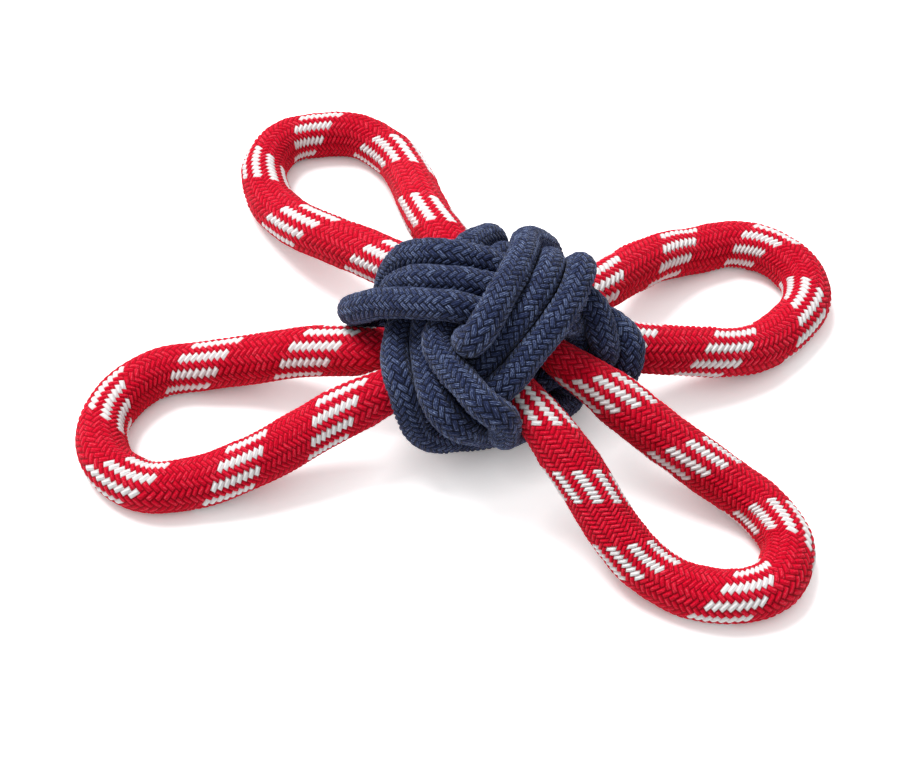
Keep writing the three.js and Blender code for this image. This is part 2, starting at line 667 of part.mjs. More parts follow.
// The origin is the middle of the footprint, on the floor.
const bounds = new THREE.Box3().setFromObject(toy);
const footprint = bounds.getCenter(new THREE.Vector3());
toy.position.set(-footprint.x, -footprint.y, 0);
console.log("knot axis at " + toy.position.x.toFixed(2) + ", " + toy.position.y.toFixed(2));

export default toy;
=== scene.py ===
# %% [markdown]
# # A rope toy for dogs
# Two thick red ropes, each joined into a ring, cross in the middle and make four open loops. A thinner
# navy rope is tied round the crossing as a monkey's fist, three turns each way. All of it is braided
# cotton, so most of this lesson is about a braid that is real geometry.

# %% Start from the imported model
import math

import bpy
import numpy as np
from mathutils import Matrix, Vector
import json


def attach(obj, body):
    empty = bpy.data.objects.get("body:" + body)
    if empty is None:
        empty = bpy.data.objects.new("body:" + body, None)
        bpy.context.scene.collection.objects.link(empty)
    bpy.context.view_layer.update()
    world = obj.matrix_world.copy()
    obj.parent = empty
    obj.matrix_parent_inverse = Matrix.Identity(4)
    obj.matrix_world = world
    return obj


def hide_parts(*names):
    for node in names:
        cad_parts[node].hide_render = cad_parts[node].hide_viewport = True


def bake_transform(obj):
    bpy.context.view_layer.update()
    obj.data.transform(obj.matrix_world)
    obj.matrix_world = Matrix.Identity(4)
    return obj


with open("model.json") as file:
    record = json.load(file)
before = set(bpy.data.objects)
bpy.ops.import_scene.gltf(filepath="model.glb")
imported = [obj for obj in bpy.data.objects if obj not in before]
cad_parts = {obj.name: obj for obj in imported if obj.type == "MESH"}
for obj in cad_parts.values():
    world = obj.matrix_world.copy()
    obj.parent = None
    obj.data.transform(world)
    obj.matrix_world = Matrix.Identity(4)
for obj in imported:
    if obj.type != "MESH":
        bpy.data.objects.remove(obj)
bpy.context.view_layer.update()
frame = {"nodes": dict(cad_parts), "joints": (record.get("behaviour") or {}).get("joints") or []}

MM = 0.001

# %% [markdown]
# The toy is measured from the knot's own axis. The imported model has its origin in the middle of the
# footprint, so one hinge, whose place by the knot is known, gives the shift between the two.

# %% The knot's axis in the model's frame
HINGES = {
    "left_loop": ((-42.0, 7.0, 27.5), (-0.990, 0.140)),
    "right_loop": ((42.0, 6.5, 27.5), (0.9964, 0.0849)),
    "front_loop": ((22.0, -40.0, 32.0), (0.458, -0.889)),
    "back_loop": ((-8.0, 42.0, 37.0), (-0.108, 0.994)),
}
left_hinge = next(j for j in frame["joints"] if j["name"] == "left_loop_lift")
KNOT_AXIS = np.array(left_hinge["pos_m"]) / MM - np.array(HINGES["left_loop"][0])
print("knot axis at", KNOT_AXIS.round(2), "mm")


def in_frame(points):
    """Points in millimetres from the knot's axis, in metres in the model's frame."""
    return (np.asarray(points, float) + KNOT_AXIS) * MM


# %% [markdown]
# The camera looks down at 50 degrees from the front left, from arm's length, as a hand-held product
# photograph does. A lens of 69 mm on a 36 mm sensor gives the photograph's mild perspective.

# %% Camera
CAMERA_PLACE = (-135.7, -372.9, 486.7)
CAMERA_TURN = (40.0, 0.0, -18.0)
LENS = 69.33
SENSOR = 36.0

camera_data = bpy.data.cameras.new("camera")
camera_data.lens = LENS
camera_data.sensor_width = SENSOR
camera_data.clip_start = 0.01
camera = bpy.data.objects.new("camera", camera_data)
camera.location = in_frame([CAMERA_PLACE])[0]
camera.rotation_euler = [math.radians(angle) for angle in CAMERA_TURN]
bpy.context.scene.collection.objects.link(camera)
bpy.context.scene.camera = camera

# %% [markdown]
# Some places are easiest to pick in the photo. With the camera known, a point of the toy can be turned
# into a pixel of the photo, and a pixel into a line of sight.

# %% From the toy to the photo and back
PHOTO_WIDTH = 900
PHOTO_MIDDLE = np.array([450, 383.5])
FOCAL = LENS / SENSOR * PHOTO_WIDTH
EYE = np.array(CAMERA_PLACE)

tilt, _, heading = (math.radians(angle) for angle in CAMERA_TURN)
right = (math.cos(heading), math.sin(heading), 0)
up = (-math.cos(tilt) * math.sin(heading), math.cos(tilt) * math.cos(heading), math.sin(tilt))
CAMERA_AXES = np.array([right, up, np.cross(right, up)]).T


def in_photo(points):
    """The pixels at which points are seen; the points are in mm from the knot's axis."""
    seen = (points - EYE) @ CAMERA_AXES
    return PHOTO_MIDDLE + FOCAL * seen[..., :2] * (1, -1) / -seen[..., 2:]


def sight_lines(pixels):
    """The directions in which the camera sees some pixels."""
    x, y = (pixels - PHOTO_MIDDLE).T / FOCAL
    way = np.stack([x, -y, -np.ones(len(x))], axis=1) @ CAMERA_AXES.T
    return way / np.linalg.norm(way, axis=1, keepdims=True)


# %% [markdown]
# ## The ropes' routes
# Each red rope is a closed ring. Its route is a smooth curve through points in millimetres, set
# over a first estimate from the loops' middle lines in the photo: flat on the floor at the far ends of
# the loops, and rising into the knot.

# %% Sizes and routes
RED_DIAMETER = 18.0
RED_SQUEEZED = 12.0
SQUEEZE_FROM = 24.0
SQUEEZE_TO = 48.0
NAVY_DIAMETER = 8.8
NAVY_PITCH = 10.2
CORE_BALL = 32.8
KNOT_CENTRE = np.array([2.24, 4.03, 35.5])
CLEARANCE = 0.3

# A rope's two legs mirror each other: the point t of one leg is beside the point mirror - t of the other.
LONG_MIRROR = 16
CROSS_MIRROR = 15

# fmt: off
LONG_ROUTE = np.array([
    [-20, 11.6, 31], [-36, 14.5, 29], [-48, 22, 25], [-62, 31, 19], [-77, 38, 13], [-92, 43.5, 9],
    [-108, 47, 7.2], [-123, 42, 7.2], [-134, 29, 7.2], [-135.5, 12, 7.2], [-125, -2, 7.2], [-107, -6.5, 8.5],
    [-89, -7.5, 13], [-72, -6, 18], [-55, -4.5, 24], [-38, -4, 29], [-20, -1.8, 31], [0, -1.7, 31],
    [20, -2, 31], [38, -5, 28.5], [55, -8.5, 23], [70, -10, 18], [86, -11.5, 13], [101, -10, 9],
    [115, -4, 7.2], [128, 6, 7.2], [132, 20, 7.2], [126, 35, 7.2], [114, 43, 7.2], [99, 43.5, 8],
    [85, 41, 12], [71, 35, 17], [57, 27, 22], [42, 18.5, 27.5], [20, 12, 31], [0, 11.4, 31],
])
CROSS_ROUTE = np.array([
    [-2.2, -16, 43.5], [2, -31, 40], [8, -46, 33], [13.5, -60, 25], [18, -74, 17], [25, -87, 10],
    [35, -98, 7.2], [49, -105.5, 7.2], [64, -105, 7.2], [74, -93, 7.2], [72.5, -77.5, 7.8], [63.5, -65, 12],
    [52.5, -54, 19], [42, -43, 26], [30.5, -30, 34], [17, -16, 42], [10.2, 3, 44], [4.4, 24, 43],
    [1, 44, 38.5], [0, 62, 33], [1, 80, 26], [3.5, 98, 18], [5.5, 116, 10.5], [3.5, 133, 7.2],
    [-6, 147, 7.2], [-21, 153, 7.2], [-37, 152, 7.2], [-47.5, 140, 7.2], [-50, 123, 8.5], [-47.5, 107, 12],
    [-42, 92, 17], [-34.5, 78, 22], [-27, 64, 27], [-19.5, 48, 33], [-12, 27, 41], [-4, 5, 44],
])
# fmt: on


def curve_point(points, t, closed=True):
    """Points of a smooth curve that passes through all the given points; t counts points."""
    count = len(points)
    last = count if closed else count - 1
    i = np.minimum(np.floor(t).astype(int), last - 1) if not closed else np.floor(t).astype(int)
    w = (t - i)[:, None]
    if closed:
        p0, p1, p2, p3 = (points[(i + k) % count] for k in (-1, 0, 1, 2))
    else:
        first = 2 * points[0] - points[1]
        final = 2 * points[-1] - points[-2]
        padded = np.vstack([first, points, final])
        p0, p1, p2, p3 = (padded[i + k] for k in (0, 1, 2, 3))
    return 0.5 * (
        2 * p1
        + (p2 - p0) * w
        + (2 * p0 - 5 * p1 + 4 * p2 - p3) * w**2
        + (3 * p1 - p0 - 3 * p2 + p3) * w**3
    )


def swell(points):
    """Radius of the red rope: squeezed in the knot, and full further out."""
    out = np.hypot(points[:, 0], points[:, 1])
    share = np.clip((out - SQUEEZE_FROM) / (SQUEEZE_TO - SQUEEZE_FROM), 0, 1)
    return (RED_SQUEEZED + (RED_DIAMETER - RED_SQUEEZED) * share) / 2


# %% [markdown]
# ## Tying the knot
# The navy rope makes three bands of three turns. Each band wraps the one before it, and the last passes
# inside the first, as in any monkey's fist. A formula lays it large and loose, and then it is drawn
# tight. Step by step it is smoothed a little, brought to its length, and pushed apart wherever two
# strands, or a strand and a red rope, are nearer than their radii allow. The turns that show on top are
# led over places picked in the photo. Then the slack is combed out along the rope, and it is
# left to settle. The values of the formula and of the pulls were found by trying many and keeping those
# whose turns lie most as in the photo.

# %% The navy rope as it is laid
TURNS = (3.174, 2.75, 2.975)
START_TURNS = (-3.338, 0.625, 0.375)
AXIS_ONE = (137.34, 57.7)
AXIS_THREE = (231.39, -3.59)
LAID_POINTS = 40
LAID_OUTER = 7.557 * NAVY_PITCH
LAID_INNER = 5.3 * NAVY_PITCH
CORNER = 0.536
NODES = 360


def direction(azimuth, elevation):
    a, e = math.radians(azimuth), math.radians(elevation)
    return np.array([math.cos(e) * math.cos(a), math.cos(e) * math.sin(a), math.sin(e)])


axis_one = direction(*AXIS_ONE)
axis_three = direction(*AXIS_THREE)
axis_three -= axis_one * (axis_three @ axis_one)
axis_three /= np.linalg.norm(axis_three)
KNOT_AXES = np.array([axis_one, np.cross(axis_one, axis_three), axis_three])


def squared(value):
    """Pulls a circle out towards a square, so that the turns lie more like those of a fist."""
    return np.sign(value) * np.abs(value) ** CORNER


def laid_rope():
    bands = []
    for band, (side, order) in enumerate(((1, (0, 1, 2)), (-1, (2, 0, 1)), (1, (1, 2, 0)))):
        turn = np.arange(math.ceil(TURNS[band] * LAID_POINTS)) / LAID_POINTS
        angle = math.tau * (START_TURNS[band] + side * turn)
        outer = LAID_OUTER * squared(np.cos(angle))
        inner = LAID_INNER * squared(np.sin(angle))
        across = side * NAVY_PITCH * (1 - 2 * turn / TURNS[band])
        bands.append(np.stack([outer, inner, across], axis=1)[:, order] @ KNOT_AXES)
    return np.vstack(bands) + KNOT_CENTRE


def evenly(points, count):
    along = np.r_[0, np.cumsum(np.linalg.norm(np.diff(points, axis=0), axis=1))]
    at = np.linspace(0, along[-1], count)
    return np.stack([np.interp(at, along, points[:, k]) for k in range(3)], axis=1)


# %% What the navy rope feels: the red ropes, the gap between two legs, and the ball in the middle
FELT_FINE = 20
FELT_STEP = 0.165 * RED_DIAMETER
FELT_OUT = 6 * RED_DIAMETER
LEGS_NEAR = 1.9 * RED_DIAMETER
LEGS_OUT = 3.9 * RED_DIAMETER
GAP_BALL_SHARE = 0.9
CORE_OFFSET = (0, 0.105, 0.33)


def red_balls():
    centres, radii = [], []
    for route, mirror in ((LONG_ROUTE, LONG_MIRROR), (CROSS_ROUTE, CROSS_MIRROR)):
        grid = np.linspace(0, len(route), len(route) * FELT_FINE + 1)
        fine = curve_point(route, grid)
        along = np.r_[0, np.cumsum(np.linalg.norm(np.diff(fine, axis=0), axis=1))]
        count = int(along[-1] / FELT_STEP)
        t = np.interp(np.arange(count) / count * along[-1], along, grid)
        point = curve_point(route, t)
        out = np.hypot(point[:, 0], point[:, 1])
        other = curve_point(route, (mirror - t) % len(route))
        near = np.linalg.norm(point - other, axis=1) < LEGS_NEAR
        felt = out <= FELT_OUT
        pair = felt & near & (out < LEGS_OUT)
        centres += [point[felt], ((point + other) / 2)[pair]]
        radii += [swell(point[felt]) + CLEARANCE, GAP_BALL_SHARE * swell(point[pair])]
    centres.append((KNOT_CENTRE + NAVY_PITCH * np.array(CORE_OFFSET) @ KNOT_AXES)[None])
    radii.append(np.array([CORE_BALL / 2]))
    return np.vstack(centres), np.concatenate(radii)


# %% What happens to the rope in each round
CONTACT_REACH = 0.47 * NAVY_PITCH
TIGHTEST_TURN = 1.6 * NAVY_PITCH
NAVY_LOWEST = 0.4 * NAVY_DIAMETER
SEARCH_ROUNDS = 8


def keep_lengths(nodes, step):
    for first in (0, 1):
        a, b = nodes[first:-1:2], nodes[first + 1 :: 2]
        gap = b - a
        length = np.linalg.norm(gap, axis=1, keepdims=True)
        shift = gap * (length - step) / (2 * length)
        nodes[first:-1:2] += shift
        nodes[first + 1 :: 2] -= shift


def feel(nodes, balls, ball_radii, step):
    """Pairs of nodes, and of nodes and balls, that may touch in the next rounds."""
    apart = np.linalg.norm(nodes[:, None] - nodes[None], axis=2)
    near = np.nonzero(np.triu(apart < NAVY_PITCH + CONTACT_REACH, math.ceil(TIGHTEST_TURN / step)))
    apart = np.linalg.norm(nodes[:, None] - balls[None], axis=2)
    return near, np.nonzero(apart < NAVY_PITCH / 2 + ball_radii + CONTACT_REACH)


def push_apart(nodes, balls, ball_radii, near, felt, spread):
    push, count = np.zeros_like(nodes), np.zeros(len(nodes))
    gap = nodes[near[0]] - nodes[near[1]]
    length = np.linalg.norm(gap, axis=1)
    hit = length < NAVY_PITCH
    gap = gap[hit] * ((NAVY_PITCH - length[hit]) / (2 * length[hit]))[:, None]
    for side, way in ((near[0][hit], 1), (near[1][hit], -1)):
        np.add.at(push, side, way * gap)
        np.add.at(count, side, 1)
    gap = nodes[felt[0]] - balls[felt[1]]
    length = np.linalg.norm(gap, axis=1)
    need = NAVY_PITCH / 2 + ball_radii[felt[1]] - length
    hit = need > 0
    np.add.at(push, felt[0][hit], gap[hit] * (need[hit] / length[hit])[:, None])
    np.add.at(count, felt[0][hit], 1)
    nodes += push / np.maximum(count, 1)[:, None] ** spread


def smooth(nodes, share):
    nodes[1:-1] += share * ((nodes[:-2] + nodes[2:]) / 2 - nodes[1:-1])


def mean_step(nodes):
    return np.linalg.norm(np.diff(nodes, axis=0), axis=1).mean()


def keep_above_floor(nodes):
    nodes[:, 2] = np.maximum(nodes[:, 2], NAVY_LOWEST)


# %% [markdown]
# The places that the turns are led over were picked in a piece of the photo that starts at PIECE_START
# and is enlarged PIECE_SCALE times. Each is put where its line of sight meets a ball as large as the
# knot. A turn is free to move along that line, so only the place in the photo counts.

# %% Guides: some nodes, from one number to another, are led over these places
PIECE_START = np.array([325, 215])
PIECE_SCALE = 2.934
GUIDE_BALL = np.array([1.5, 2.5, 36.5])
GUIDE_BALL_RADIUS = 32.0
PICKED = (
    (10, 28, ((60, 285), (200, 250), (330, 255), (430, 285))),
    (48, 68, ((200, 215), (330, 185), (450, 215))),
    (88, 108, ((210, 160), (330, 130), (470, 165))),
    (222, 240, ((590, 130), (525, 240), (455, 350))),
    (178, 198, ((650, 190), (570, 290), (480, 400))),
    (138, 158, ((730, 250), (630, 360), (520, 480))),
    (258, 278, ((355, 340), (385, 450), (450, 550), (560, 605))),
    (298, 318, ((285, 320), (300, 460), (350, 570), (480, 635))),
    (338, 356, ((215, 330), (210, 470), (250, 590), (350, 655))),
    (106, 122, ((765, 330), (778, 400))),
)


def on_guide_ball(picked):
    """Where lines of sight meet the ball, or pass nearest to its middle, to a tenth of a millimetre."""
    way = sight_lines(PIECE_START + np.array(picked) / PIECE_SCALE)
    start = EYE - GUIDE_BALL
    along = way @ start
    inside = np.maximum(along**2 - start @ start + GUIDE_BALL_RADIUS**2, 0)
    return (EYE - way * (along + np.sqrt(inside))[:, None]).round(1)


GUIDES = [(first, final, on_guide_ball(picked)) for first, final, picked in PICKED]
GUIDE_REACH = 3
GUIDE_WIDTH = 1.5


def lead(nodes, goal, first, final, strength):
    """Pull the nearest of some nodes over a point, as seen from the camera."""
    sight = goal - EYE
    sight /= np.linalg.norm(sight)
    first, final = max(first, 0), min(final, NODES)
    way = goal - nodes[first:final]
    way -= (way @ sight)[:, None] * sight
    nearest = (way**2).sum(axis=1).argmin()
    for away in range(-GUIDE_REACH, GUIDE_REACH + 1):
        if 0 <= first + nearest + away < NODES:
            part = strength * math.exp(-0.5 * (away / GUIDE_WIDTH) ** 2)
            nodes[first + nearest + away] += part * way[nearest]


# %% Draw tight
DRAW = {"stiffness": 0.27, "guide": 0.3, "lengths": 3, "spread": 0.3}
SHAPE_FROM = 0.3
DRAWN_STEP = 0.304 * NAVY_PITCH
TAIL_IN = 0.657
TAIL_PULL = 0.3
TUG_POINT = np.array([-41, 32.8, 27.05])
TUG_TURN = 0.2
TUG_WIDTH = 2.5
TUG_LEAST = 0.02
TUG_PULL = 0.295
GRIP_RADIUS = 32.18
GRIP_PULL = 0.25
GRIP_FREE = (14, 4)


def shape(nodes, strength):
    """Lead the turns on top, tug the first one out behind a leg, and press all into a ball."""
    for first, final, points in GUIDES:
        for point in points:
            lead(nodes, point, first, final, DRAW["guide"] * strength)
    middle = round(TUG_TURN / sum(TURNS) * (NODES - 1))
    part = np.exp(-0.5 * ((np.arange(NODES) - middle) / TUG_WIDTH) ** 2)
    part[part <= TUG_LEAST] = 0
    nodes += part[:, None] * (TUG_PULL * strength * (TUG_POINT - nodes[middle]))
    out = nodes - KNOT_CENTRE
    distance = np.linalg.norm(out, axis=1)
    over = GRIP_PULL * strength * np.maximum(distance - GRIP_RADIUS, 0)
    over[: GRIP_FREE[0]] = 0
    over[-GRIP_FREE[1] :] = 0
    nodes -= out * (over / distance)[:, None]


def draw_tight(nodes, balls, ball_radii, rounds=800):
    ends = nodes[[0, -1]] - KNOT_CENTRE
    laid_step = mean_step(nodes)
    for turn in range(rounds):
        drawn = turn / rounds
        step = laid_step + (DRAWN_STEP - laid_step) * drawn
        if turn % SEARCH_ROUNDS == 0:
            near, felt = feel(nodes, balls, ball_radii, step)
        smooth(nodes, DRAW["stiffness"])
        goal = KNOT_CENTRE + ends * (1 - TAIL_IN * drawn)
        nodes[[0, -1]] += TAIL_PULL * (goal - nodes[[0, -1]])
        if drawn > SHAPE_FROM:
            shape(nodes, (drawn - SHAPE_FROM) / (1 - SHAPE_FROM))
        for _ in range(DRAW["lengths"]):
            keep_lengths(nodes, step)
        push_apart(nodes, balls, ball_radii, near, felt, DRAW["spread"])
        keep_above_floor(nodes)


# %% Comb out the slack
COMB = {"stiffness": 0.2, "guide": 0.6, "reach": 13, "contacts": 6, "spread": 0.5}
EVEN_ROUNDS = 4


def comb(nodes, balls, ball_radii, rounds=300):
    ends = nodes[[0, -1]].copy()
    for turn in range(rounds):
        if turn % EVEN_ROUNDS == 0:
            nodes[:] = evenly(nodes, NODES)
        if turn % SEARCH_ROUNDS == 0:
            near, felt = feel(nodes, balls, ball_radii, mean_step(nodes))
        smooth(nodes, COMB["stiffness"])
        nodes[[0, -1]] = ends
        for first, final, points in GUIDES:
            middle = (first + final) // 2
            part = (middle - COMB["reach"], middle + COMB["reach"] + 1)
            for point in points:
                lead(nodes, point, *part, COMB["guide"])
        for _ in range(COMB["contacts"]):
            push_apart(nodes, balls, ball_radii, near, felt, COMB["spread"])
        keep_above_floor(nodes)


# %% Let it settle
SETTLE = {"stiffness": 0.1, "contacts": 12, "spread": 0.5}
LAST_STIFFNESS = 0.25


def settle(nodes, balls, ball_radii, rounds=60):
    ends = nodes[[0, -1]].copy()
    step = mean_step(nodes)
    for turn in range(rounds):
        if turn % SEARCH_ROUNDS == 0:
            near, felt = feel(nodes, balls, ball_radii, step)
        smooth(nodes, SETTLE["stiffness"])
        nodes[[0, -1]] = ends
        keep_lengths(nodes, step)
        for _ in range(SETTLE["contacts"]):
            push_apart(nodes, balls, ball_radii, near, felt, SETTLE["spread"])
        keep_above_floor(nodes)
    smooth(nodes, LAST_STIFFNESS)


navy_nodes = evenly(laid_rope(), NODES)
all_balls, all_radii = red_balls()
draw_tight(navy_nodes, all_balls, all_radii)
comb(navy_nodes, all_balls, all_radii)
settle(navy_nodes, all_balls, all_radii)
print("navy rope", round(mean_step(navy_nodes) * (NODES - 1)), "mm")

# %% [markdown]
# ## Strands
# A strand is a rope's middle line at even steps, with its radius and a pair of directions across it
# that turn as little as they can, so that the braid doesn't spin round the rope.

# %% A strand along a line
STEP = 0.6
LINE_FINE = 40
NAVY_LINE_FINE = 8


class Strand:
    def __init__(self, line, radius):
        self.along = np.r_[0, np.cumsum(np.linalg.norm(np.diff(line, axis=0), axis=1))]
        count = int(round(self.along[-1] / STEP)) + 1
        self.centre = evenly(line, count)
        self.length = self.along[-1]
        self.radius = radius(self.centre)
        tangent = np.gradient(self.centre, axis=0)
        tangent /= np.linalg.norm(tangent, axis=1, keepdims=True)
        across = np.array([0.0, 0.0, 1.0])
        if abs(tangent[0, 2]) > 0.7:
            across = np.array([1.0, 0.0, 0.0])
        self.across = np.empty_like(tangent)
        for k, along in enumerate(tangent):
            across = across - along * (across @ along)
            across /= np.linalg.norm(across)
            self.across[k] = across
        self.side = np.cross(tangent, self.across)
        self.presses = [[] for _ in range(count)]


def half_ring(route, first, last):
    t = np.linspace(first, last, int((last - first) * LINE_FINE) + 1)
    return curve_point(route, t)


# The two ends of each half meet the next half, so they stop a hair short of it.
GAP = 0.15 / 18
red_halves = {
    "left_loop": Strand(half_ring(LONG_ROUTE, -1 + GAP, 17 - GAP), swell),
    "right_loop": Strand(half_ring(LONG_ROUTE, 17 + GAP, 35 - GAP), swell),
    "front_loop": Strand(half_ring(CROSS_ROUTE, -1 + GAP, 16 - GAP), swell),
    "back_loop": Strand(half_ring(CROSS_ROUTE, 16 + GAP, 35 - GAP), swell),
}
NAVY_SHOWN = 10.7
navy_line = curve_point(navy_nodes, np.linspace(0, NODES - 1, NODES * NAVY_LINE_FINE), closed=False)
navy = Strand(navy_line, lambda centre: np.full(len(centre), NAVY_SHOWN / 2))
for name, strand in {**red_halves, "navy": navy}.items():
    print(name, round(strand.length), "mm")

# %% [markdown]
# Soft ropes that are pulled tight flatten on each other. Where two strands are nearer than their
# radii, a plane between them is noted, and the surface of each stops softly at that plane.

# %% Where strands press on each other
PRESS_SKIP = int(1.7 * NAVY_PITCH / STEP)
PRESS_SOFT = 0.5
PRESS_GAP = 0.05
FAR_OFF = 1e3
AT_ONCE = 400


def note_presses(strand, other):
    for start in range(0, len(strand.centre), AT_ONCE):
        part = slice(start, start + AT_ONCE)
        centre = strand.centre[part]
        gap = other.centre[None] - centre[:, None]
        far = np.linalg.norm(gap, axis=2)
        touch = far[:, 1:-1] < strand.radius[part][:, None] + other.radius[None, 1:-1]
        touch &= (far[:, 1:-1] <= far[:, :-2]) & (far[:, 1:-1] < far[:, 2:])
        if strand is other:
            i = np.arange(start, start + len(centre))
            k = np.arange(1, len(other.centre) - 1)
            touch &= np.abs(i[:, None] - k[None]) > PRESS_SKIP
        for i, k in zip(*np.nonzero(touch)):
            k += 1
            away = gap[i, k] / far[i, k]
            mine = strand.radius[start + i]
            share = mine / (mine + other.radius[k])
            strand.presses[start + i].append((away, far[i, k] * share))


def press(strand, station, points):
    """Stops points softly at the planes that their station has."""
    most = max(len(noted) for noted in strand.presses)
    table = np.zeros((len(strand.presses), max(most, 1), 4))
    table[..., 3] = FAR_OFF
    for i, noted in enumerate(strand.presses):
        for k, (away, reach) in enumerate(noted):
            table[i, k] = [*away, reach]
    nearest = np.clip(np.rint(station).astype(int), 0, len(table) - 1)
    centre = strand.centre[nearest]
    for k in range(table.shape[1]):
        away, limit = table[nearest, k, :3], table[nearest, k, 3] - PRESS_GAP
        over = ((points - centre) * away).sum(1) - (limit - PRESS_SOFT)
        kept = limit - PRESS_SOFT * np.exp(-np.maximum(over, 0) / PRESS_SOFT)
        move = np.where(over > 0, kept - (limit - PRESS_SOFT) - over, 0)
        points = points + away * move[:, None]
    return points


strands = [*red_halves.values(), navy]
for strand in strands:
    for other in strands:
        if strand is not other or strand is navy:
            note_presses(strand, other)
print("pressed stations of the navy rope:", sum(bool(noted) for noted in navy.presses))

# %% [markdown]
# ## A braid that is geometry
# A braided cover has two sets of yarns that wind opposite ways. Each yarn passes over two and under
# two, so what shows is columns of short slanted stitches that lean left and right by turns. The mesh
# has its points on the yarns' own slanted grid, so that each stitch has clean edges, and each stitch
# is raised like a small cushion. Stitches get their own material where the yarn has another colour.

# %% The stitch, and which yarn is on top
FLOOR = 0.12
STITCH_FLAT_ACROSS = 2.2
STITCH_FLAT_ALONG = 4.0


def stitch(u, v):
    """Height of a stitch: u goes across it and v along it, both from 0 to 1."""
    across = np.clip(1 - np.abs(2 * u - 1) ** STITCH_FLAT_ACROSS, 0, 1) ** 0.5
    along = np.clip(1 - np.abs(2 * v - 1) ** STITCH_FLAT_ALONG, 0, 1) ** 0.6
    return across * along


def on_top(a, b):
    """Which yarn is on top at a place of the grid, and where on its stitch that place is."""
    i, j = np.floor(a).astype(int), np.floor(b).astype(int)
    phase = (i + j) % 4
    first = phase < 2
    u = np.where(first, a - i, b - j)
    v = np.where(first, b - j + phase, a - i + phase - 2) / 2
    return first, i, j, u, v


# %% Small lumps, as in any braid that has been handled
LUMPS = 14
LUMP_HEIGHT = 0.035
LUMP_PITCH = (5, 30)


def hand_made(strand, at, angle):
    """A slow unevenness of the radius along and round a rope, in mm, the same at every run."""
    rng = np.random.default_rng(int(strand.length))
    total = np.zeros(len(at))
    for _ in range(LUMPS):
        pitch = rng.uniform(*LUMP_PITCH)
        turns = rng.integers(0, 4)
        total += rng.normal() * np.sin(2 * np.pi * (at / pitch + rng.random()) + turns * angle)
    return LUMP_HEIGHT * total


# %% Loose fibres
FIBRE_LENGTH = 0.8
FIBRE_HALF_WIDTH = 0.035
FIBRE_ROOT = 0.05


def loose_fibres(points, centre, count, length, rng):
    """Single hairs as thin triangles that stand a little off the surface and lie to one side."""
    chosen = rng.integers(0, len(points), count)
    root = points[chosen]
    out = root - centre[chosen]
    out /= np.maximum(np.linalg.norm(out, axis=1, keepdims=True), 1e-6)
    lean = rng.normal(size=(count, 3))
    lean -= out * (lean * out).sum(1, keepdims=True)
    lean /= np.linalg.norm(lean, axis=1, keepdims=True)
    side = np.cross(out, lean) * FIBRE_HALF_WIDTH
    reach = length * rng.uniform(0.5, 1.3, (count, 1))
    tip = root + reach * (out * rng.uniform(0.15, 0.6, (count, 1)) + lean)
    root = root - out * FIBRE_ROOT
    corners = np.stack([root - side, root + side, tip], axis=1).reshape(-1, 3)
    return corners, np.arange(count * 3).reshape(-1, 3), chosen


# %% A mesh from arrays
def mesh_piece(name, points, faces, corners, slots, tones, places):
    """A smooth mesh from corners of faces, with each face's material slot and tone, and its texture place.

    faces gives the corners of each face, 3 or 4; points are in millimetres from the knot's axis.
    """
    used, corners = np.unique(corners, return_inverse=True)
    mesh = bpy.data.meshes.new(name)
    mesh.vertices.add(len(used))
    mesh.vertices.foreach_set("co", in_frame(points[used]).astype(np.float32).ravel())
    mesh.loops.add(len(corners))
    mesh.loops.foreach_set("vertex_index", corners.ravel().astype(np.int32))
    mesh.polygons.add(len(faces))
    mesh.polygons.foreach_set("loop_start", np.r_[0, np.cumsum(faces)[:-1]].astype(np.int32))
    mesh.polygons.foreach_set("loop_total", faces.astype(np.int32))
    mesh.update()
    mesh.shade_smooth()
    mesh.polygons.foreach_set("material_index", slots.astype(np.int32))
    mesh.uv_layers.new(name="stitch").data.foreach_set("uv", places.astype(np.float32).ravel())
    mesh.attributes.new("tone", "FLOAT", "FACE").data.foreach_set("value", tones.astype(np.float32))
    piece = bpy.data.objects.new(name, mesh)
    bpy.context.scene.collection.objects.link(piece)
    print(name, len(faces), "faces")
    return piece


# %% How tightly it is braided along its length
def even_lay(strand, yarns, lay):
    """The same lay all along: one full turn of each yarn in lay millimetres."""
    return np.array([[0.0, strand.length], [0.0, strand.length * yarns / lay], [0.0, 0.0]])


LAY_REACH = 12.0


def measured_lay(strand, yarns, lay, rows):
    """A smooth table through measured rows; beyond them the lay is the common one."""
    at, count, turn = np.array(rows, float).T
    per_mm = yarns / lay
    at = np.r_[0.0, at, strand.length]
    count = np.r_[count[0] - (at[1] - at[0]) * per_mm, count, count[-1] + (at[-1] - at[-2]) * per_mm]
    turn = np.r_[turn[0], turn, turn[-1]]
    fine = np.linspace(0, strand.length, 400)
    share = np.exp(-0.5 * ((fine[:, None] - fine[None]) / LAY_REACH) ** 2)
    share /= share.sum(1, keepdims=True)
    line = count[0] + (count[-1] - count[0]) * fine / strand.length
    smooth = line + share @ (np.interp(fine, at, count) - line)
    return np.array([fine, smooth, share @ np.interp(fine, at, turn)])


# %% The braid
RELIEF_MIDDLE = 0.75


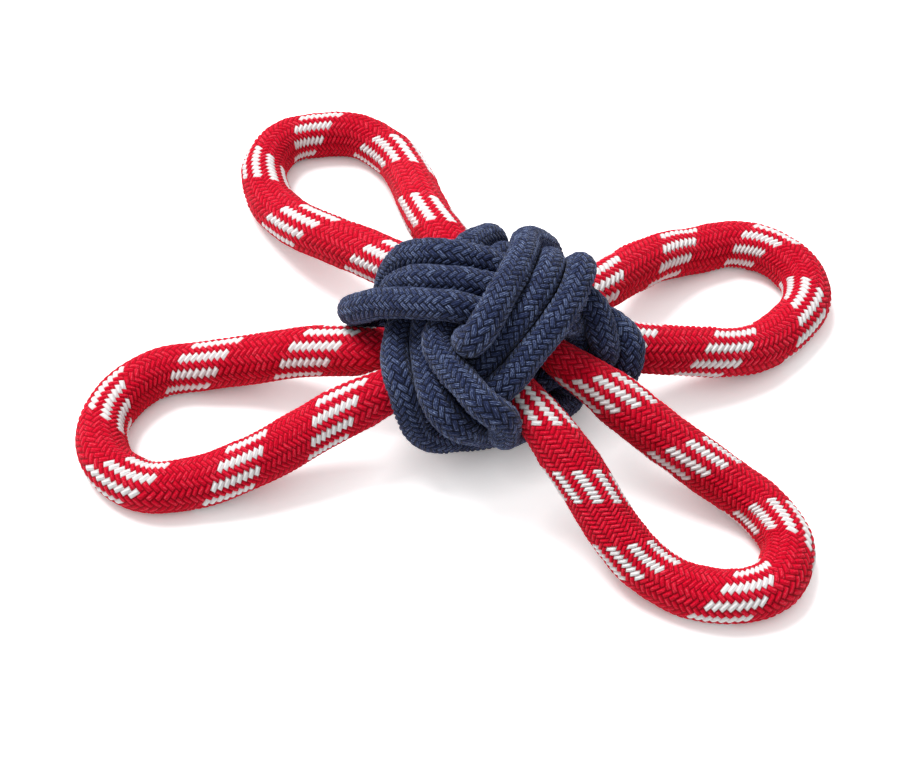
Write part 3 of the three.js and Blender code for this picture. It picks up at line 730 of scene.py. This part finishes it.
def braid(names, strand, yarns, lay, relief, detail, coloured=None, neck=None, fibres=0):
    """A braided cover on a strand, whose points lie on the yarns' slanted grid.

    lay is a table: how far along in mm, the stitches counted so far, and the braid's turn in degrees.
    The cover is one closed mesh, or is cut across into as many as there are names.
    """
    ring = yarns * detail
    along, counted, turned = lay
    rows = 2 * int((counted[-1] - counted[0]) * detail)
    t = np.repeat(np.arange(rows + 1), ring)
    s = np.tile(2 * np.arange(ring), rows + 1) + t % 2
    a, b = (s - t) / (2 * detail), (s + t) / (2 * detail)
    height = np.zeros(len(s))
    for da in (-1e-6, 1e-6):
        for db in (-1e-6, 1e-6):
            u, v = on_top(a + da, b + db)[3:]
            height = np.maximum(height, stitch(u, v))

    # Each point's place along the strand, and its ring of that radius.
    at = np.interp(t / rows * (counted[-1] - counted[0]) + counted[0], counted, along)
    station = at / strand.length * (len(strand.centre) - 1)
    low = np.minimum(np.floor(station).astype(int), len(strand.centre) - 2)
    part = (station - low)[:, None]

    def between(values):
        return values[low] * (1 - part) + values[low + 1] * part

    radius = between(strand.radius[:, None])[:, 0]
    if neck is not None:
        radius = radius - neck(at)
    radius = radius + relief * radius / strand.radius.max() * (height - RELIEF_MIDDLE)
    lumps = hand_made(strand, at, np.pi * s / ring)
    radius = radius + lumps
    angle = np.pi * s / ring + np.radians(np.interp(at, along, turned))
    points = between(strand.centre)
    points = points + between(strand.across) * (radius * np.cos(angle))[:, None]
    points = points + between(strand.side) * (radius * np.sin(angle))[:, None]
    points = press(strand, station, points)
    rng = np.random.default_rng(yarns)
    hairs, hair_faces, hair_roots = loose_fibres(points, between(strand.centre), fibres, FIBRE_LENGTH, rng)
    hair_faces += len(points) + 2
    points = np.vstack([points, strand.centre[:1], strand.centre[-1:], hairs])
    points[:, 2] = np.maximum(points[:, 2], FLOOR)

    # Diamond faces between the rows, and triangles and a fan at both ends.
    row = np.arange(1, rows)[:, None]
    k = np.arange(ring)[None]
    below = (row - 1) * ring + k
    left = row * ring + np.where(row % 2 == 1, (k - 1) % ring, k)
    right = row * ring + np.where(row % 2 == 1, k, (k + 1) % ring)
    above = (row + 1) * ring + k
    quads = np.stack([below, right, above, left], axis=-1).reshape(-1, 4)
    k = np.arange(ring)
    following = (k + 1) % ring
    last = rows * ring
    triangles = np.vstack([
        np.stack([k, following, k + ring], axis=-1),
        np.stack([last + following, last + k, last - ring + k], axis=-1),
        np.stack([following, k, np.full(ring, last + ring)], axis=-1),
        np.stack([last + k, last + following, np.full(ring, last + ring + 1)], axis=-1),
        hair_faces,
    ])

    # Each face knows its yarn's colour, its place on the stitch and a tone of its own.
    face_s, face_t = 2 * k[None] + (row - 1) % 2, row + 0 * k[None]
    first, i, j, _, _ = on_top(*(((face_s + way * face_t) / (2 * detail)).ravel() for way in (-1, 1)))
    count = len(quads) + len(triangles)
    slots = np.zeros(count, int)
    if coloured is not None:
        slots[: len(quads)] = coloured(first, i, j)
        hair_a, hair_b = a[hair_roots] + 0.01, b[hair_roots] + 0.013
        slots[count - fibres :] = coloured(*on_top(hair_a, hair_b)[:3])
    corner_s = face_s.reshape(-1, 1) + np.array([[0, 1, 0, -1]])
    corner_t = face_t.reshape(-1, 1) + np.array([[-1, 0, 1, 0]])
    corner_a, corner_b = (corner_s - corner_t) / (2 * detail), (corner_s + corner_t) / (2 * detail)
    i, j, first = i[:, None], j[:, None], first[:, None]
    phase = (i + j) % 4
    place_u = np.where(first, corner_a - i, corner_b - j)
    place_v = np.where(first, corner_b - j + phase, corner_a - i + phase - 2) / 2
    places = np.stack([place_u, place_v], axis=-1)
    kind = np.where(first, i * 131 + (j - phase) * 17, j * 113 + (i - phase) * 29 + 7).ravel()
    tones = np.full(count, 0.5)
    tones[: len(quads)] = np.mod(np.sin(kind * 12.9898) * 43758.5453, 1.0)
    tones[count - fibres :] = rng.uniform(0.3, 1.0, fibres)

    # Quads go to the piece that their row is in, and hairs and end faces to that of their first corner.
    last_row = rows + 1
    quad_part = np.repeat(np.arange(rows - 1) * len(names) // (rows - 1), ring)
    root_row = np.r_[triangles[: 4 * ring, 0] // ring, hair_roots // ring]
    triangle_part = np.minimum(root_row * len(names) // last_row, len(names) - 1)
    pieces = []
    for part, name in enumerate(names):
        mine, ours = quad_part == part, triangle_part == part
        pieces.append(mesh_piece(
            name, points,
            np.r_[np.full(mine.sum(), 4), np.full(ours.sum(), 3)],
            np.r_[quads[mine].ravel(), triangles[ours].ravel()],
            slots[np.r_[mine, ours]], tones[np.r_[mine, ours]],
            np.vstack([places[mine].reshape(-1, 2), np.full((3 * ours.sum(), 2), 0.5)]),
        ))
    return pieces


# %% [markdown]
# ## Materials
# Colours are written as they look on screen, and one function turns them to Blender's linear values.

# %% Helpers for materials
def linear(code):
    """An sRGB hex colour as linear red, green, blue and alpha."""
    values = [int(code[k : k + 2], 16) / 255 for k in (0, 2, 4)]
    return [v / 12.92 if v <= 0.04045 else ((v + 0.055) / 1.055) ** 2.4 for v in values] + [1.0]


def add_node(tree, kind, settings=None, links=None, values=None):
    """Adds a node, sets its properties, links its inputs and sets its input values."""
    node = tree.nodes.new(kind)
    for key, value in (settings or {}).items():
        setattr(node, key, value)
    for key, value in (values or {}).items():
        node.inputs[key].default_value = value
    for key, socket in (links or {}).items():
        tree.links.new(socket, node.inputs[key])
    return node


def new_material(name):
    material = bpy.data.materials.new(name)
    material.use_nodes = True
    tree = material.node_tree
    tree.nodes.clear()
    return material, tree


# %% [markdown]
# Cotton yarn is dull and slightly hairy. It has no clear highlight, only a faint pale bloom. Its fibres
# run along each stitch, and the creases between stitches get a painted shade. Both are drawn from the
# place on the stitch, which the mesh stores as its texture coordinates, so they follow every bend.

# %% Cotton yarn
def cotton_yarn(name, crease_shade, dark, middle, pale,
                threads=2.0, contrast=0.4, bump=0.2, roughness=0.6, bloom=0.05):
    """Dyed and braided cotton; threads is how many twisted threads lie side by side in one stitch."""
    material, tree = new_material(name)
    place = add_node(tree, "ShaderNodeUVMap", {"uv_map": "stitch"})
    split = add_node(tree, "ShaderNodeSeparateXYZ", links={0: place.outputs[0]})
    tone = add_node(tree, "ShaderNodeAttribute", {"attribute_name": "tone"})

    # Threads lie side by side across the stitch and twist a little along it.
    slant = add_node(tree, "ShaderNodeMath", {"operation": "MULTIPLY_ADD"},
                     {0: split.outputs[1], 2: split.outputs[0]}, {1: 0.35})
    turns = add_node(tree, "ShaderNodeMath", {"operation": "MULTIPLY"},
                     {0: slant.outputs[0]}, {1: threads * math.tau})
    ridge = add_node(tree, "ShaderNodeMath", {"operation": "SINE"}, {0: turns.outputs[0]})

    # Fibres: a noise that is much longer along the stitch than across it, new for each stitch.
    fresh = add_node(tree, "ShaderNodeCombineXYZ",
                     links={0: slant.outputs[0], 1: split.outputs[1], 2: tone.outputs["Fac"]})
    spot = add_node(tree, "ShaderNodeVectorMath", {"operation": "MULTIPLY"},
                    {0: fresh.outputs[0]}, {1: (9.0, 5.0, 97.0)})
    fibre = add_node(tree, "ShaderNodeTexNoise", links={"Vector": spot.outputs[0]},
                     values={"Scale": 1.0, "Detail": 2.0, "Roughness": 0.65})

    # Painted crease shade, from the place on the stitch: 0 at its edges, which get the dark crease colour,
    # and 1 on its back.
    centred = add_node(tree, "ShaderNodeVectorMath", {"operation": "MULTIPLY_ADD"},
                       {0: place.outputs[0]}, {1: (2.0, 2.0, 0.0), 2: (-1.0, -1.0, 0.0)})
    outward = add_node(tree, "ShaderNodeVectorMath", {"operation": "ABSOLUTE"}, {0: centred.outputs[0]})
    edges = add_node(tree, "ShaderNodeSeparateXYZ", links={0: outward.outputs[0]})
    across = add_node(tree, "ShaderNodeMapRange", {"interpolation_type": "SMOOTHSTEP"},
                      {0: edges.outputs[0]}, {1: 0.5, 2: 1.0, 3: 1.0, 4: 0.0})
    along = add_node(tree, "ShaderNodeMapRange", {"interpolation_type": "SMOOTHSTEP"},
                     {0: edges.outputs[1]}, {1: 0.75, 2: 1.0, 3: 1.0, 4: 0.0})
    back = add_node(tree, "ShaderNodeMath", {"operation": "MULTIPLY"},
                    {0: across.outputs[0], 1: along.outputs[0]})

    # Light and dark come from the fibres, from each stitch's own tone and from the threads.
    mottled = add_node(tree, "ShaderNodeMath", {"operation": "MULTIPLY_ADD"},
                       {0: fibre.outputs["Fac"]}, {1: 2.2 * contrast, 2: 0.5 - 1.275 * contrast})
    toned = add_node(tree, "ShaderNodeMath", {"operation": "MULTIPLY_ADD"},
                     {0: tone.outputs["Fac"], 2: mottled.outputs[0]}, {1: 0.35 * contrast})
    lifted = add_node(tree, "ShaderNodeMath", {"operation": "MULTIPLY_ADD"},
                      {0: ridge.outputs[0], 2: toned.outputs[0]}, {1: 0.18 * contrast})
    ramp = add_node(tree, "ShaderNodeValToRGB", links={0: lifted.outputs[0]})
    stops = ramp.color_ramp.elements
    stops[0].position, stops[0].color = 0.2, linear(dark)
    stops[1].position, stops[1].color = 0.95, linear(pale)
    stops.new(0.55).color = linear(middle)
    # Painted shade: towards each stitch's edges its colour goes over to the darker crease colour.
    shaded = add_node(tree, "ShaderNodeMix", {"data_type": "RGBA"},
                      {0: back.outputs[0], 7: ramp.outputs[0]}, {6: linear(crease_shade)})
    height = add_node(tree, "ShaderNodeMath", {"operation": "MULTIPLY_ADD"},
                      {0: ridge.outputs[0], 2: fibre.outputs["Fac"]}, {1: 0.3})
    raised = add_node(tree, "ShaderNodeBump", links={"Height": height.outputs[0]},
                      values={"Strength": 0.7, "Distance": bump * MM})
    skin = add_node(tree, "ShaderNodeBsdfPrincipled",
                    links={"Base Color": shaded.outputs[2], "Normal": raised.outputs[0]},
                    values={"Roughness": roughness, "Specular IOR Level": 0.08,
                            "Sheen Weight": bloom, "Sheen Roughness": 0.5})
    add_node(tree, "ShaderNodeOutputMaterial", links={"Surface": skin.outputs[0]})
    return material


# Each yarn's colours go from the painted shade of its creases to its palest fibres.
red_cotton = cotton_yarn(
    "red dyed cotton yarn", "a00018", "cf0021", "ec0030", "ff6a7c",
    contrast=0.5, bump=0.25, roughness=0.8, bloom=0.07)
white_cotton = cotton_yarn(
    "bleached cotton yarn", "e8d2d4", "f5f3f3", "fdfdfd", "ffffff",
    contrast=0.35, bump=0.25, roughness=0.8, bloom=0.04)
navy_cotton = cotton_yarn(
    "navy heathered cotton yarn", "0c1022", "1b2340", "303c64", "92a4cc",
    threads=3.0, contrast=0.65, bump=0.3, roughness=0.85, bloom=0.16)
core_cotton = cotton_yarn(
    "undyed cotton core yarn", "8c8069", "c8bba2", "d8cdbb", "efe8da", roughness=0.95)
red_thread = cotton_yarn("waxed red thread", "3a0810", "5a0d1a", "7a1526", "9c2f40")
navy_thread = cotton_yarn("waxed navy thread", "0d1020", "1a1f38", "2c3352", "55608a")

# %% [markdown]
# ## The red ropes
# The red cover has eighteen yarns each way. One way they are all red. The other way eight of them, side
# by side, are white, which gives the short rows of eight white stitches that step round the rope.
# Inside each cover is the plain core that makes the rope thick and springy.

# %% Red covers and cores
RED_YARNS = 18
WHITE_YARNS = 8
RED_LAY = 2.6 * RED_DIAMETER
RED_RELIEF = 0.6
RED_FIBRES = 26000
NECK_LENGTH = 9.0
NECK_DEPTH = 1.9
NECK_EDGE = 2.0
CORE_SHARE = 0.64
CORE_YARNS = 8
CORE_LAY = 30.0
CORE_RELIEF = 0.3


def neck_at(end, full):
    """How far the rope is drawn in by the thread that binds its cut end."""

    def depth(along):
        away = along if end == "start" else full - along
        return NECK_DEPTH * (1 - np.clip((away - NECK_LENGTH) / NECK_EDGE, 0, 1))

    return depth


JOINT_ENDS = {"left_loop": "start", "right_loop": "end", "front_loop": "start", "back_loop": "end"}
RUNS = {
    "left_loop": ["long_rope_back_run_left", "long_rope_front_run"],
    "right_loop": ["long_rope_back_run_right"],
    "front_loop": ["cross_rope_left_run_front", "cross_rope_right_run"],
    "back_loop": ["cross_rope_left_run_back"],
}

# %% [markdown]
# The middles of the dashes' white bars were picked in the photo, two or three for each dash, in
# order along the rope. Each is found on the rope's surface, and the bars of a dash then tell how many
# stitches there are up to it and how far the braid has turned. Handling pushes a braid together on one
# leg and draws it out on another, so the rows aren't even.

# %% The dashes, picked in the photo
# fmt: off
BARS = {
    "left_loop": (
        ((313, 345), (300, 366)), ((200, 355), (190, 376), (208, 337)),
        ((107, 402), (122, 418), (100, 388)), ((128, 471), (115, 487), (145, 459)),
        ((248, 456), (240, 480), (250, 438)), ((335, 412), (331, 434), (330, 392))),
    "right_loop": (
        ((623, 346), (632, 331)), ((728, 347), (733, 331), (715, 366)),
        ((788, 288), (803, 290), (814, 308)), ((763, 236), (750, 251)),
        ((684, 241), (677, 262)), ((606, 284), (605, 305))),
    "front_loop": (
        ((542, 404), (562, 410), (523, 411)), ((588, 486), (611, 490), (569, 490)),
        ((640, 552), (620, 560), (660, 549)), ((748, 588), (732, 606), (757, 570)),
        ((762, 518), (785, 515)), ((690, 461), (710, 454), (672, 472)),
        ((600, 400), (622, 396), (583, 408))),
    "back_loop": (
        ((407, 210), (425, 211)), ((379, 142), (401, 139), (365, 151)),
        ((308, 122), (307, 145), (315, 108)), ((255, 158), (273, 167)),
        ((300, 217), (281, 225), (318, 212)), ((384, 254), (368, 269))),
}
# fmt: on
# Two dashes of the back loop were moved along it, to these millimetres.
MOVED = {("back_loop", 0): 66.0, ("back_loop", 1): 138.0}
COLUMN = 2 * math.tau / RED_YARNS
FIRST_COLUMN = 3.5 * math.pi / RED_YARNS
RING_STEPS = 180
CLOSE_PIXELS, CLOSER_PIXELS = 1.5, 0.3
LEAST_FACING = 0.05


def found_on_rope(strand, pixels):
    """For each pixel: mm along the rope, the angle round it, and how squarely that faces the camera."""
    ring = np.linspace(0, math.tau, RING_STEPS, endpoint=False)
    across, side = strand.across[::2, None], strand.side[::2, None]
    out = across * np.cos(ring)[:, None] + side * np.sin(ring)[:, None]
    points = strand.centre[::2, None] + out * strand.radius[::2, None, None]
    depth = np.linalg.norm(EYE - points, axis=2)
    facing = ((EYE - points) * out).sum(2) / depth
    places = in_photo(points)
    rows = []
    for pixel in pixels:
        away = np.where(facing > 0, np.linalg.norm(places - pixel, axis=2), np.inf)
        close = away < max(CLOSE_PIXELS, away.min() + CLOSER_PIXELS)
        i, k = np.unravel_index(np.where(close, depth, np.inf).argmin(), close.shape)
        rows.append((2 * i * STEP, ring[k], facing[i, k]))
    return np.array(rows).T


def within_half(stitches):
    """The same stitches less whole repeats, from half a repeat back to half a repeat on."""
    return (stitches + RED_YARNS / 2) % RED_YARNS - RED_YARNS / 2


def dash_rows(name, strand):
    """A row for each dash: mm along the rope, stitches counted to there, and the turn in degrees."""
    rows, turn, counted = [], 0.0, -RED_YARNS / 2
    for number, pixels in enumerate(BARS[name]):
        along, angle, facing = found_on_rope(strand, pixels)
        weight = np.maximum(facing, LEAST_FACING) ** 2
        weight /= weight.sum()

        # White stitches stand in columns round the rope. The turn is what brings them under the bars.
        phase = (angle - FIRST_COLUMN) / COLUMN * math.tau
        shift = np.angle(np.exp(1j * phase) @ weight) / math.tau * COLUMN
        turn = shift + COLUMN * round((turn - shift) / COLUMN)

        # A bar's middle is half the white yarns on, less the part of a repeat that it lies round the rope.
        bars = WHITE_YARNS / 2 - RED_YARNS * (angle - turn) / math.tau
        bars = bars[0] + within_half(bars - bars[0])
        counted += RED_YARNS + within_half(bars @ weight - counted)
        place = MOVED.get((name, number), round(along @ weight, 1))
        rows.append((place, round(counted, 1), round(math.degrees(turn))))
    print(name, "dashes at", *[row[0] for row in rows], "mm")
    return rows


# %% Covers and cores on all four loops
def white_dashes(counted):
    """The white yarns are eight neighbours; counting starts where the rope's own table starts."""
    shift = int(round(counted[0]))
    return lambda first, i, j: ~first & ((j + shift) % RED_YARNS < WHITE_YARNS)


def bend_with(piece, loop):
    """Bakes the piece's place into its mesh; the loop's hinge and its way are looked up but not used."""
    hinge, way = HINGES[loop]
    way = np.array([*way, 0.0])
    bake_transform(piece)


for name, strand in red_halves.items():
    lay = measured_lay(strand, RED_YARNS, RED_LAY, dash_rows(name, strand))
    (cover,) = braid([name + "_braided_cover"], strand, RED_YARNS, lay, RED_RELIEF, 4,
                     white_dashes(lay[1]), neck_at(JOINT_ENDS[name], strand.length), RED_FIBRES)
    cover.data.materials.append(red_cotton)
    cover.data.materials.append(white_cotton)
    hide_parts(name + "_cover", *[run + "_cover" for run in RUNS[name]])
    bend_with(cover, name)

    inner = Strand(strand.centre[5:-5], lambda centre: swell(centre) * CORE_SHARE)
    lay = even_lay(inner, CORE_YARNS, CORE_LAY)
    (core,) = braid([name + "_plaited_core"], inner, CORE_YARNS, lay, CORE_RELIEF, 1)
    core.data.materials.append(core_cotton)
    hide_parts(name + "_core", *[run + "_core" for run in RUNS[name]])
    bend_with(core, name)

# %% [markdown]
# ## The navy rope
# Twelve yarns each way, of navy spun with some light blue, which gives the heathered look. It is one
# rope all through, but so fine a mesh is easier to work with in five parts, each from one cut to the
# next.

# %% Navy knot
NAVY_YARNS = 12
NAVY_LAY = 2.6 * NAVY_SHOWN
NAVY_RELIEF = 0.55
NAVY_FIBRES = 60000
navy_names = [f"navy_braided_rope_{part}" for part in range(1, 6)]
navy_lay = even_lay(navy, NAVY_YARNS, NAVY_LAY)
for piece in braid(navy_names, navy, NAVY_YARNS, navy_lay, NAVY_RELIEF, 4, fibres=NAVY_FIBRES):
    piece.data.materials.append(navy_cotton)
    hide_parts("navy_monkeys_fist")
    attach(piece, "knot")

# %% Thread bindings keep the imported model's own solids
for name, node in frame["nodes"].items():
    if name.endswith("_binding"):
        node.data.materials.clear()
        node.data.materials.append(navy_thread if name.startswith("navy") else red_thread)
        print(name)

# %% [markdown]
# ## Floor and light
# A white sweep, a broad soft light from the upper left, and an even white surround.

# %% Floor
SIDE = 4.0
SHADOW_REACH = 20.0
FLOOR_FILL = 0.75
floor_mesh = bpy.data.meshes.new("floor")
corners = [(-SIDE, -SIDE, 0), (SIDE, -SIDE, 0), (SIDE, SIDE, 0), (-SIDE, SIDE, 0)]
floor_mesh.from_pydata(corners, [], [(0, 1, 2, 3)])
floor = bpy.data.objects.new("floor", floor_mesh)
bpy.context.scene.collection.objects.link(floor)
paper, tree = new_material("white paper")
# The floor glows for the camera, and the glow dims where the toy is near it: a painted contact shadow, on
# top of the lamp's real one.
seen = add_node(tree, "ShaderNodeLightPath")
painted_contact_shadow = add_node(tree, "ShaderNodeAmbientOcclusion", {"samples": 16},
                    values={"Distance": SHADOW_REACH * MM})
glow = add_node(tree, "ShaderNodeMath", {"operation": "MULTIPLY"},
                {0: seen.outputs["Is Camera Ray"], 1: painted_contact_shadow.outputs["AO"]})
filled = add_node(tree, "ShaderNodeMath", {"operation": "MULTIPLY"}, {0: glow.outputs[0]}, {1: FLOOR_FILL})
skin = add_node(tree, "ShaderNodeBsdfPrincipled", links={"Emission Strength": filled.outputs[0]},
                values={"Base Color": linear("fafafa"), "Roughness": 0.9, "Specular IOR Level": 0.0,
                        "Emission Color": (1, 1, 1, 1)})
add_node(tree, "ShaderNodeOutputMaterial", links={"Surface": skin.outputs[0]})
floor_mesh.materials.append(paper)

# %% Surround and lamp
SURROUND = 0.36
LAMP_STRENGTH = 3.0
LAMP_WIDTH = 26.0
LAMP_WAY = (0.26, -0.56, -1.1)
world = bpy.data.worlds.new("surround")
bpy.context.scene.world = world
world.use_nodes = True
tree = world.node_tree
tree.nodes.clear()
seen = add_node(tree, "ShaderNodeLightPath")
clear = add_node(tree, "ShaderNodeMath", {"operation": "MAXIMUM"},
                 {0: seen.outputs["Is Glossy Ray"], 1: seen.outputs["Is Transmission Ray"]})
white = add_node(tree, "ShaderNodeMath", {"operation": "MAXIMUM"},
                 {0: seen.outputs["Is Camera Ray"], 1: clear.outputs[0]})
strength = add_node(tree, "ShaderNodeMath", {"operation": "MULTIPLY_ADD"},
                    {0: white.outputs[0]}, {1: 1 - SURROUND, 2: SURROUND})
sky = add_node(tree, "ShaderNodeBackground", links={"Strength": strength.outputs[0]},
               values={"Color": (1, 1, 1, 1)})
add_node(tree, "ShaderNodeOutputWorld", links={"Surface": sky.outputs[0]})

lamp_data = bpy.data.lights.new("big soft lamp", "SUN")
lamp_data.energy = LAMP_STRENGTH
lamp_data.angle = math.radians(LAMP_WIDTH)
lamp = bpy.data.objects.new("big soft lamp", lamp_data)
lamp.rotation_euler = Vector(LAMP_WAY).to_track_quat("-Z", "Y").to_euler()
bpy.context.scene.collection.objects.link(lamp)

bpy.context.scene.view_settings.view_transform = "Standard"

# %% Last import
import json
